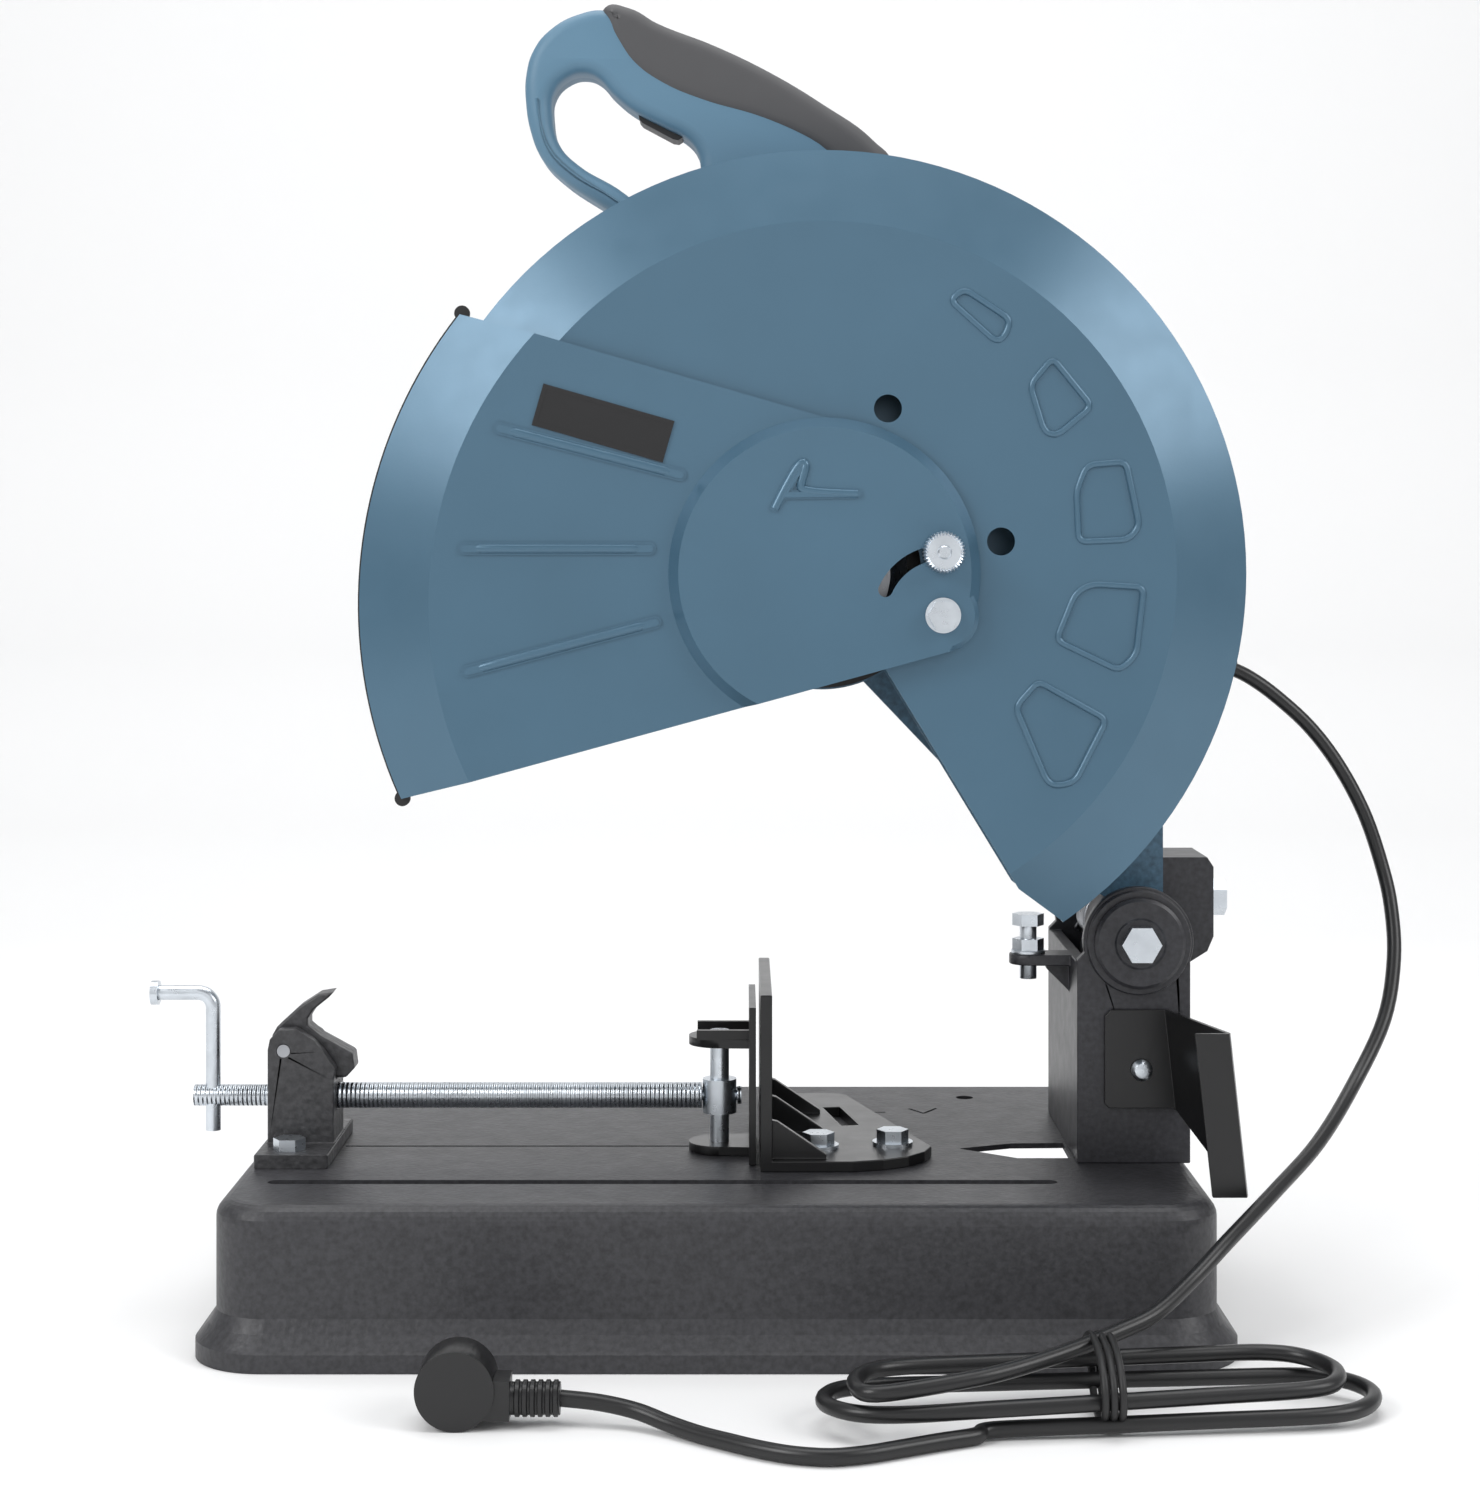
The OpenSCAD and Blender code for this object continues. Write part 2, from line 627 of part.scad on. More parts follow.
// The open sector below the wheel's centre
module guard_opening(y0, y1) {
    plate_y(y0, y1) polygon([[-250, 224], [62, 309], [74.5, 300.5], [134, 202.5], [155, 186.5], [175, 110], [-250, 110]]);
}

module guard_front_shell() {
    in = sheet;
    color(blue) difference() {
        turned_y(wheel_x, wheel_z, [[0, face_y], [guard_face_r, face_y], [guard_r, rim_y], [guard_r, split_rim_y],
            [guard_r - in, split_rim_y], [guard_r - in, rim_y + 0.8], [guard_face_r - 0.8, face_y + in],
            [0, face_y + in]]);
        guard_opening(face_y - 5, -50);
        rod_y(wheel_x, wheel_z, 43, face_y - 5, face_y + 5);
        for (p = guard_hole) rod_y(p[0], p[1], 6.2, face_y - 5, face_y + 5);
        for (w = window) plate_y(face_y - 1, face_y + 0.8) polygon(w);
        rod_y(hinge_x, hinge_z, 3, face_y - 5, face_y + 5);
        rod_y(hinge_x, hinge_z + slot_r, 2.8 + fit, face_y - 5, face_y + 5);
    }
}

guard_screw = [for (turn = [25, 145, 262]) [wheel_x + 36.5 * cos(turn), wheel_z + 36.5 * sin(turn)]];

module guard_back_shell() {
    in = sheet;
    color(blue) difference() {
        turned_y(wheel_x, wheel_z, [[30, back_y], [guard_r, back_y], [guard_r, split_rim_y],
            [guard_r - in, split_rim_y], [guard_r - in, back_y - in], [30, back_y - in]]);
        guard_opening(-90, -50);
        for (p = guard_screw) rod_y(p[0], p[1], 2.5, back_y - 5, back_y + 5);
    }
}

// Retaining plate over the front bearing, which also clamps the guard
module bearing_plate() {
    y = back_y - sheet;
    color(black) difference() {
        turned_y(wheel_x, wheel_z, [[11, y], [52, y], [52, y - 3], [49, y - 5], [24, y - 5], [22, y - 3], [11, y - 3]]);
        for (p = guard_screw) rod_y(p[0], p[1], 2.5, y - 10, y + 5);
    }
}

// Everything between the two straight edges of the moving guard
module front_guard_wedge() {
    polygon([[68, 405.6], [-207.5, 485.1], [-300, 350], [-207.5, 223.5], [110, 310.4], [104, 330]]);
}

module front_guard() {
    in = sheet;
    rim = -96;
    edge = -92;
    face_r = front_guard_r - 33;
    hub_r = 68.8;
    color(blue) difference() {
        union() {
            intersection() {
                turned_y(arc_x, arc_z, [[0, front_face_y], [face_r, front_face_y], [front_guard_r, rim],
                    [front_guard_r, edge], [front_guard_r - in, edge], [front_guard_r - in, rim + 0.8],
                    [face_r - 0.8, front_face_y + in], [0, front_face_y + in]]);
                plate_y(-150, -50) front_guard_wedge();
            }
            turned_y(wheel_x, wheel_z, [[0, hub_y], [hub_r - 4.5, hub_y], [hub_r, front_face_y],
                [hub_r, front_face_y + in], [0, front_face_y + in]]);
            turned_y(hinge_x, hinge_z, [[0, hub_y], [14, hub_y], [16, hub_y + 2], [16, front_face_y + in],
                [0, front_face_y + in]]);
            bead_y([-95.5, 406.5], [-16, 386], 2.8, front_face_y);
            bead_y([-111, 353.5], [-29.5, 353.5], 2.8, front_face_y);
            bead_y([-109.5, 299.5], [-27, 321], 2.8, front_face_y);
            bead_y([25.5, 371.5], [38, 390], 2, hub_y);
            bead_y([30, 377], [62, 377.5], 2, hub_y);
        }
        turned_y(wheel_x, wheel_z, [[0, hub_y + in], [hub_r - 5.6, hub_y + in], [hub_r - 1.6, front_face_y + 0.7],
            [hub_r - 1.6, front_face_y + 3], [0, front_face_y + 3]]);
        rod_y(hinge_x, hinge_z, 14.5, hub_y + in, front_face_y + 3);
        plate_y(-150, -50) polygon([[-320, 192.7], [118, 312.6], [118, 100], [-320, 100]]);
        rod_y(hinge_x, hinge_z, 4 + fit, hub_y - 5, front_face_y + 5);
        arc_slot(slot_r, 6.4, 90, 90 + slot_sweep);
    }
}

// A slot through the hub, on an arc round the guard's hinge
module arc_slot(r, width, from, to) {
    turned_y_arc(hinge_x, hinge_z, from, to, [[r - width / 2, hub_y - 5], [r + width / 2, hub_y - 5],
        [r + width / 2, front_face_y + 5], [r - width / 2, front_face_y + 5]]);
    for (a = [from, to]) rod_y(hinge_x + r * cos(a), hinge_z + r * sin(a), width / 2, hub_y - 5, front_face_y + 5);
}

module front_guard_trim() {
    high = 141.6;
    low = 204.4;
    y = -92;
    color(black) {
        turned_y_arc(arc_x, arc_z, high, low, [[front_guard_r - 2.4, y], [front_guard_r + 1.2, y],
            [front_guard_r + 1.2, y + 2.5], [front_guard_r - 2.4, y + 2.5]]);
        for (a = [high, low])
            rod_y(arc_x + front_guard_r * cos(a), arc_z + front_guard_r * sin(a), 3.5, y, y + 2.5);
    }
}

module badge_plate() {
    color(black) translate([-50, front_face_y - 1, 408.8]) rotate([0, 16, 0]) difference() {
        box([-30, 0, -9.5], [30, 1, 9.5]);
        box([-28, -1, -7.5], [28, 0.3, 7.5]);
    }
}

module guard_hinge_bolt() {
    color(zinc) {
        turned_y(hinge_x, hinge_z, [[0, face_y + 8], [3, face_y + 8], [3, face_y], [8, face_y],
            [8, hub_y + sheet + 0.2], [4, hub_y + sheet + 0.2], [4, hub_y - 0.2], [7.8, hub_y - 0.2],
            [7.8, hub_y - 1.6], [0, hub_y - 1.6]]);
        hex_y(hinge_x, hinge_z, 12, hub_y - 5.5, hub_y - 1.6);
    }
}

module thumb_screw() {
    y = hub_y - 0.4;
    color(zinc) {
        rod_y(hinge_x, hinge_z + slot_r, 2.8, y - 1, face_y + 8);
        turned_y(hinge_x, hinge_z + slot_r, [[0, y], [9.2, y], [9.2, y - 8.5], [7.6, y - 10.5], [3, y - 10.5],
            [2.2, y - 9.5], [0, y - 9.5]]);
    }
}

// ---- handle -------------------------------------------------------------------------------------------

handle_y0 = -68;
handle_y1 = -34;
split_y = -51;
lock_off = [57.5, 505];

module handle_outline() {
    difference() {
        union() {
            polygon(smooth_loop([[-51.5, 602], [-64, 599.2], [-76.5, 592.5], [-84.5, 583], [-88, 571], [-88, 558],
                [-86, 546], [-81, 533.5], [-71.5, 523.5], [-51.5, 510], [-20.5, 489], [0, 471], [30, 462], [80, 470],
                [93, 491], [87.5, 522], [71.5, 540], [48, 557], [23, 572], [-2, 584], [-28, 594], [-40.5, 601]], 3));
            polygon([[2, 480], [2, 432], [90, 432], [93, 495]]);
        }
        polygon(smooth_loop([[-76, 553], [-75, 563.5], [-68, 570.5], [-61, 572], [-55, 570], [-47.5, 562.2],
            [-38.9, 555.2], [-24, 547.3], [-13.8, 541.8], [-9.2, 536], [-7.8, 529], [-7.8, 508], [-12.5, 500.5],
            [-20.5, 501], [-46, 519.3], [-64, 530], [-72.5, 539]], 3));
    }
}

module grip_outline() {
    polygon(smooth_loop([[-52, 603.5], [-40, 602.6], [-27.4, 595.8], [-1.4, 585.6], [23.8, 573.6], [49, 558.6],
        [73, 541.6], [81, 530], [62, 525.5], [40.5, 538.5], [19.6, 547.8], [-8.3, 556.1], [-26.8, 564], [-40, 573.5], [-47, 583],
        [-52, 594]], 3));
}

// Places a shape along the underside of the grip bar, from the fingers' end, with its Y into the bar
module in_bar() {
    translate([-37, 554.2]) rotate(-28.1) children();
}

module handle_shell(y0, y1) {
    color(light_blue) difference() {
        plate_y(y0, y1) handle_outline();
        plate_y(y0 - 1, y1 + 1) grip_outline();
        plate_y(split_y - 12, split_y + 12) translate([12, 494]) square([54, 26]);
        plate_y(split_y - 8.4, split_y + 8.4) in_bar() translate([0, -4]) square([24, 14.5]);
        rod_y(lock_off[0], lock_off[1], 5 + fit, split_y, handle_y1 + 1);
    }
}

module handle_front_half() {
    handle_shell(handle_y0, split_y);
}

module handle_rear_half() {
    handle_shell(split_y, handle_y1);
}

module soft_grip() {
    color([0.36, 0.36, 0.37]) plate_y(handle_y0 - 0.5, handle_y1 + 0.5) grip_outline();
}

module trigger() {
    color(black) plate_y(split_y - 8, split_y + 8) in_bar()
        polygon([[0.6, 0], [2, -1.8], [4, -2.6], [20, -2.6], [22.4, -1.8], [23.4, 0], [23.4, 5], [0.6, 5]]);
}

module lock_off_button() {
    color(black) {
        rod_y(lock_off[0], lock_off[1], 5, split_y + 8.4, handle_y1 + 4);
        rod_y(lock_off[0], lock_off[1], 7, split_y + 8.4, split_y + 11.6);
    }
}

module switch_block() {
    color(black) box([13, split_y - 12, 497], [46, split_y + 12, 517]);
}

module spindle_lock() {
    color(black) {
        rod_x(lock_y, wheel_z, 4, wheel_x - 60, wheel_x - 44.5);
        rod_x(lock_y, wheel_z, 7, wheel_x - 60, wheel_x - 55.5);
    }
}

case_screw = [[25, 450], [72, 450], [24, 534]];

module case_screws() {
    color(zinc) {
        for (p = guard_screw) {
            rod_y(p[0], p[1], 2.5, back_y - 7, back_y);
            rod_y(p[0], p[1], 4.5, back_y - 9, back_y - 6.5);
        }
        for (p = case_screw) rod_y(p[0], p[1], 4, handle_y1, handle_y1 + 2.4);
        for (turn = [45:90:315]) rod_y(motor_x + 44 * cos(turn), motor_z + 44 * sin(turn), 3.6, end_y, end_y + 2.2);
    }
}

// ---- wheel spindle and motor --------------------------------------------------------------------------

module wheel_spindle() {
    color(steel) difference() {
        turned_y(wheel_x, wheel_z, [[0, -93], [8, -93], [8, -80], [10, -80], [10, -51], [9, -51], [9, -39], [6, -39],
            [6, -22.5], [0, -22.5]]);
        rod_y(wheel_x, wheel_z, 5, -95, -79);
    }
}

module spindle_gear() {
    color(steel) difference() {
        plate_y(-51, -39) translate([wheel_x, wheel_z]) polygon(gear_points(gear_teeth, motor_turn));
        rod_y(wheel_x, wheel_z, 9, -60, -30);
        for (turn = [0:60:300]) rod_y(wheel_x + 23 * cos(turn), wheel_z + 23 * sin(turn), 6, -60, -30);
    }
}

flange_r = 38;
arbor_r = 12.7;

module inner_flange() {
    color(steel) turned_y(wheel_x, wheel_z, [[8, -80], [15, -80], [15, -83.5], [flange_r, -83.5], [flange_r, -88.5],
        [flange_r - 8, -88.5], [flange_r - 8, -87.5], [arbor_r, -87.5], [arbor_r, -91.1], [8, -91.1]]);
}

module outer_flange() {
    color(steel) turned_y(wheel_x, wheel_z, [[8, -91.1], [flange_r, -91.1], [flange_r, -92.6], [flange_r - 8, -96],
        [8, -96]]);
}

module arbor_bolt() {
    color(zinc) {
        rod_y(wheel_x, wheel_z, 5, -97, -81);
        rod_y(wheel_x, wheel_z, 12.5, -98, -96);
        hex_y(wheel_x, wheel_z, 17, -104.4, -98);
    }
}

// A ball bearing as its two rings
module bearing(x, z, bore, outer, y0, y1) {
    step = (outer - bore) / 3;
    for (ring = [[bore, bore + step], [outer - step, outer]])
        turned_y(x, z, [[ring[0], y0], [ring[1], y0], [ring[1], y1], [ring[0], y1]]);
    turned_y(x, z, [[bore + step, y0 + 1], [outer - step, y0 + 1], [outer - step, y1 - 1], [bore + step, y1 - 1]]);
}

module ball_bearings() {
    color(steel) {
        bearing(wheel_x, wheel_z, 10 + fit, 17.5, back_y, back_y + 8);
        bearing(wheel_x, wheel_z, 6 + fit, 14, cover_y - 2, cover_y + 4);
        bearing(motor_x, motor_z, 5.5 + fit, 14, cover_y, motor_y);
        bearing(motor_x, motor_z, 5.5 + fit, 12, 97, 105);
    }
}

module motor_housing() {
    color(light_blue) difference() {
        union() {
            turned_y(motor_x, motor_z, [[motor_r - 4, motor_y], [motor_r, motor_y], [motor_r, cap_y],
                [motor_r - 4, cap_y]]);
            for (turn = [20:40:340]) translate([motor_x, 0, motor_z]) rotate([0, turn, 0])
                box([motor_r - 1, motor_y + 22, -1.5], [motor_r + 1.5, cap_y - 8, 1.5]);
        }
        for (turn = [0:30:330]) translate([motor_x, 0, motor_z]) rotate([0, turn, 0])
            box([motor_r - 10, motor_y + 8, -4], [motor_r + 10, motor_y + 16, 4]);
    }
}

module end_cap() {
    color(black) difference() {
        turned_y(motor_x, motor_z, [[0, end_y], [motor_r - 8, end_y], [motor_r, end_y - 8], [motor_r, cap_y],
            [motor_r - 4, cap_y], [motor_r - 4, end_y - 10], [motor_r - 10, end_y - 4], [17, end_y - 4],
            [17, 97], [12, 97], [12, 105], [0, 105]]);
        for (turn = [30:20:150], side = [0, 180]) translate([motor_x, 0, motor_z]) rotate([0, turn + side, 0])
            box([20, end_y - 6, -2.5], [38, end_y + 2, 2.5]);
        for (side = [-1, 1]) rod_x(brush_y, motor_z, 8, min(motor_x + side * 40, motor_x + side * 60),
            max(motor_x + side * 40, motor_x + side * 60));
    }
}

module stator() {
    color(steel) difference() {
        rod_y(motor_x, motor_z, motor_r - 4, 2, 53);
        rod_y(motor_x, motor_z, 30, -10, 80);
        for (side = [-1, 1]) translate([motor_x, 0, motor_z + side * 36]) box([-26, -10, -7], [26, 80, 7]);
    }
}

module armature_shaft() {
    color(steel) {
        turned_y(motor_x, motor_z, [[0, -58], [4, -58], [4, -37], [5.5, -37], [5.5, 104.5], [0, 104.5]]);
        plate_y(-53, -37) translate([motor_x, motor_z]) polygon(gear_points(pinion_teeth, motor_turn + 180 + 18));
    }
}

module armature_core() {
    color(steel) difference() {
        rod_y(motor_x, motor_z, 28.5, 3, 52);
        rod_y(motor_x, motor_z, 5.5, -10, 80);
        for (turn = [0:30:330]) translate([motor_x, 0, motor_z]) rotate([0, turn, 0]) box([25, -10, -1], [30, 80, 1]);
    }
}

module commutator() {
    color([0.72, 0.45, 0.25]) difference() {
        rod_y(motor_x, motor_z, 16, 76, 95);
        rod_y(motor_x, motor_z, 5.5, 70, 100);
    }
}

module cooling_fan() {
    color(black) difference() {
        union() {
            rod_y(motor_x, motor_z, 46, -12, -10);
            rod_y(motor_x, motor_z, 12, -12, -2);
            for (turn = [0:36:324]) translate([motor_x, 0, motor_z]) rotate([0, turn, 0])
                box([11, -11, -1], [45, -3, 1]);
        }
        rod_y(motor_x, motor_z, 5.5, -20, 20);
    }
}

module carbon_brushes() {
    color([0.15, 0.15, 0.16]) for (side = [-1, 1])
        translate([motor_x + side * 29.75, brush_y, motor_z]) cube([26.5, 6, 9], center = true);
}

module brush_caps() {
    color(black) for (side = [-1, 1]) {
        x = [motor_x + side * 43, motor_x + side * 57.5];
        rod_x(brush_y, motor_z, 8, min(x), max(x));
    }
}

// ---- cord ---------------------------------------------------------------------------------------------

cord_r = 3.4;
lead_points = [[250.6, 8, 295.2], [258, 8, 291.5], [270, 8.5, 283], [286.6, 9, 268], [300.6, 8, 249.5],
    [312.4, 5, 226.5], [320, 1, 202], [323, -6, 182], [322, -16, 158.5], [314, -30, 132], [295, -50, 105],
    [271.5, -84, 85.5], [245, -119, 71.5], [218.5, -152, 59], [202, -168, 49], [190, -180, 40], [182, -188, 34]];
tail_points = [[97.5, -236, 6], [86, -246, 4.5], [72.5, -256, 3.6], [58, -265, 3.5], [44.5, -268, 3.5],
    [30, -264, 3.5], [17, -256, 3.5], [6, -248, 3.5], [-5.5, -239, 3.5], [-18, -229, 4.5], [-31, -221, 7],
    [-46, -218, 9.5], [-62, -217, 11]];
bundle_z = 30;

module strain_relief() {
    way = relief_to - relief_from;
    long = norm(way);
    color(black) translate(relief_from) rotate([0, 90 + atan2(-way[2], way[0]), 0])
        rotate_extrude() polygon([[0, 0], [8, 0], [8, 3], [6.4, 4], [6, 10], [4.2, long], [0, long]]);
}

module cord_lead() {
    color(black) tube(smooth_path(lead_points, 3), cord_r, 10);
}

// Outer shape of the looped and tied length on the floor in front of the base
module cord_bundle() {
    color(black) linear_extrude(bundle_z) {
        translate([74, -226]) circle(20);
        translate([246, -190]) circle(16);
        polygon([[70, -206], [78, -246], [249, -206], [243, -174]]);
    }
}

module cord_tail() {
    color(black) tube(smooth_path(tail_points, 3), cord_r, 10);
}

plug = [-104, -217, 16];

module plug_body() {
    color(black) {
        translate([plug[0], plug[1] - 9, plug[2]]) rotate([-90, 0, 0]) cylinder(r = 16, h = 22);
        box([plug[0], plug[1] - 8, 4], [plug[0] + 22, plug[1] + 8, 20]);
        rod_x(plug[1], 11, 6.5, plug[0] + 20, plug[0] + 42);
    }
}

module plug_pins() {
    color(zinc) for (x = [-9.5, 9.5]) translate([plug[0] + x, plug[1] + 13, plug[2]]) rotate([-90, 0, 0]) {
        cylinder(r = 2.4, h = 17);
        translate([0, 0, 17]) sphere(2.4, $fn = 24);
    }
}

base_pan();
rubber_feet();
hinge_stand();
pivot_shaft();
pivot_caps();
pivot_bolts();
torsion_spring();
stop_bolt();
spark_deflector();
fence();
fence_washers();
table_bolts();
vise_block();
lever_pin();
quick_release_lever();
movable_jaw();
jaw_pin();
vise_spindle();
crank_handle();
gear_housing();
gear_cover();
pivot_arm();
arm_bolts();
guard_front_shell();
guard_back_shell();
bearing_plate();
front_guard();
front_guard_trim();
badge_plate();
guard_hinge_bolt();
thumb_screw();
handle_front_half();
handle_rear_half();
soft_grip();
trigger();
lock_off_button();
switch_block();
spindle_lock();
case_screws();
wheel_spindle();
spindle_gear();
inner_flange();
outer_flange();
arbor_bolt();
ball_bearings();
motor_housing();
end_cap();
stator();
armature_shaft();
armature_core();
commutator();
cooling_fan();
carbon_brushes();
brush_caps();
strain_relief();
cord_lead();
cord_bundle();
cord_tail();
plug_body();
plug_pins();
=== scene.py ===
"""An abrasive chop saw on a pale studio floor. Lengths are in metres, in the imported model's own frame."""

import math

import bmesh
import bpy
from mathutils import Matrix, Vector


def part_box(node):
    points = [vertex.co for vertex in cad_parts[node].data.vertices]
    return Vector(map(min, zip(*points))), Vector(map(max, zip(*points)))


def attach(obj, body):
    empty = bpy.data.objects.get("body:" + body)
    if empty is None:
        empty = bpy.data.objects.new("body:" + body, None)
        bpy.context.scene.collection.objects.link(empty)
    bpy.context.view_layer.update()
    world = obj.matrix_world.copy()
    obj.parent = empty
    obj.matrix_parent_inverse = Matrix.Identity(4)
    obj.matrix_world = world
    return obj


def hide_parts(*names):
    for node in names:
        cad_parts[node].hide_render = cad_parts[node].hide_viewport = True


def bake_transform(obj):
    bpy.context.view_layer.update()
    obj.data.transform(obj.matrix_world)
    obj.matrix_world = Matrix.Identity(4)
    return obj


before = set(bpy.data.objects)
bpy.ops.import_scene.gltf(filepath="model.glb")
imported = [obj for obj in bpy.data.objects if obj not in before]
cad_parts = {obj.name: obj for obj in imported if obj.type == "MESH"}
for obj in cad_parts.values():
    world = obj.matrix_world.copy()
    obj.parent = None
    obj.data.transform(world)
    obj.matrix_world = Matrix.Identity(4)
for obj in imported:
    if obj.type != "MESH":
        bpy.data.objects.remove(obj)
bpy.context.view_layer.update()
MM = 0.001


# ---- shapes ----------------------------------------------------------------------------------------------

def keep(name, data, body, material):
    """Puts a mesh or curve in the scene as a piece of a body, with its finish."""
    piece = bpy.data.objects.new(name, data)
    bpy.context.scene.collection.objects.link(piece)
    data.materials.append(material)
    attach(piece, body)
    return piece


def smooth_line(points, steps):
    """A Catmull-Rom curve through the points."""
    line = []
    for i in range(len(points) - 1):
        a, b, c, d = points[max(i - 1, 0)], points[i], points[i + 1], points[min(i + 2, len(points) - 1)]
        for k in range(steps):
            t = k / steps
            line.append(0.5 * (2 * b + (c - a) * t + (2 * a - 5 * b + 4 * c - d) * t ** 2
                               + (3 * b - 3 * c + d - a) * t ** 3))
    line.append(points[-1])
    return line


def tube_curve(name, points, radius, closed=False):
    """A round bar along points given in metres."""
    curve = bpy.data.curves.new(name, "CURVE")
    curve.dimensions = "3D"
    curve.bevel_depth = radius
    curve.bevel_resolution = 4
    curve.use_fill_caps = True
    spline = curve.splines.new("POLY")
    spline.points.add(len(points) - 1)
    for p, point in zip(spline.points, points):
        p.co = (*point, 1)
    spline.use_cyclic_u = closed
    spline.use_smooth = True
    return curve


def as_mesh(curve):
    """The mesh that a curve shows."""
    shown = bpy.data.objects.new(curve.name, curve)
    bpy.context.scene.collection.objects.link(shown)
    bpy.context.view_layer.update()
    mesh = bpy.data.meshes.new_from_object(shown.evaluated_get(bpy.context.evaluated_depsgraph_get()))
    bpy.data.objects.remove(shown)
    return mesh


def rounded_plate(name, loops, y0, y1, round_off):
    """A plate between two planes of Y with rounded edges; of its loops of X and Z, inner ones are holes."""
    curve = bpy.data.curves.new(name, "CURVE")
    curve.dimensions = "2D"
    curve.fill_mode = "BOTH"
    curve.extrude = (y1 - y0) / 2 - round_off
    curve.bevel_depth = round_off
    curve.bevel_resolution = 4
    curve.offset = -round_off
    for loop in loops:
        spline = curve.splines.new("BEZIER")
        spline.bezier_points.add(len(loop) - 1)
        for p, (x, z) in zip(spline.bezier_points, loop):
            p.co = (x * MM, z * MM, 0)
            p.handle_left_type = p.handle_right_type = "AUTO"
        spline.use_cyclic_u = True
        spline.resolution_u = 6
    mesh = as_mesh(curve)
    for v in mesh.vertices:
        v.co = (v.co.x, (y0 + y1) / 2 - v.co.z, v.co.y)
    shell = bmesh.new()
    shell.from_mesh(mesh)
    bmesh.ops.remove_doubles(shell, verts=shell.verts, dist=1e-5)
    bmesh.ops.recalc_face_normals(shell, faces=shell.faces)
    shell.to_mesh(mesh)
    shell.free()
    mesh.shade_smooth()
    return mesh


def turned(name, profile, start, way, sides=48, flutes=0, flute_depth=0.0):
    """A closed solid turned about an axis; profile holds pairs of radius and distance along it, in mm."""
    way = Vector(way).normalized()
    aside = way.cross(Vector((0, 0, 1)) if abs(way.z) < 0.9 else Vector((1, 0, 0))).normalized()
    over = way.cross(aside)
    solid = bmesh.new()
    widest = max(r for r, d in profile)
    rings = []
    for r, d in profile:
        fluted = flutes and r > 0.9 * widest
        ring = []
        for k in range(sides):
            turn = 2 * math.pi * k / sides
            dip = flute_depth if fluted and k * flutes // sides % 2 else 0
            out = (r - dip) * (math.cos(turn) * aside + math.sin(turn) * over)
            ring.append(solid.verts.new(Vector(start) + MM * (out + d * way)))
        rings.append(ring)
    for low, high in zip(rings, rings[1:]):
        for k in range(sides):
            solid.faces.new((low[k], low[(k + 1) % sides], high[(k + 1) % sides], high[k]))
    solid.faces.new(rings[0][::-1])
    solid.faces.new(rings[-1])
    bmesh.ops.recalc_face_normals(solid, faces=solid.faces)
    mesh = bpy.data.meshes.new(name)
    solid.to_mesh(mesh)
    solid.free()
    return mesh


def soften(piece, width, angle=35, segments=2):
    """Small rounded edges on a hard-edged piece."""
    weld = piece.modifiers.new("weld", "WELD")
    weld.merge_threshold = 1e-5
    bevel = piece.modifiers.new("edges", "BEVEL")
    bevel.width = width * MM
    bevel.segments = segments
    bevel.limit_method = "ANGLE"
    bevel.angle_limit = math.radians(angle)
    bevel.harden_normals = True


# ---- materials -------------------------------------------------------------------------------------------

def srgb(r, g, b):
    """Linear values of a colour given as 0 to 255."""
    return tuple(((v / 255 + 0.055) / 1.055) ** 2.4 for v in (r, g, b)) + (1,)


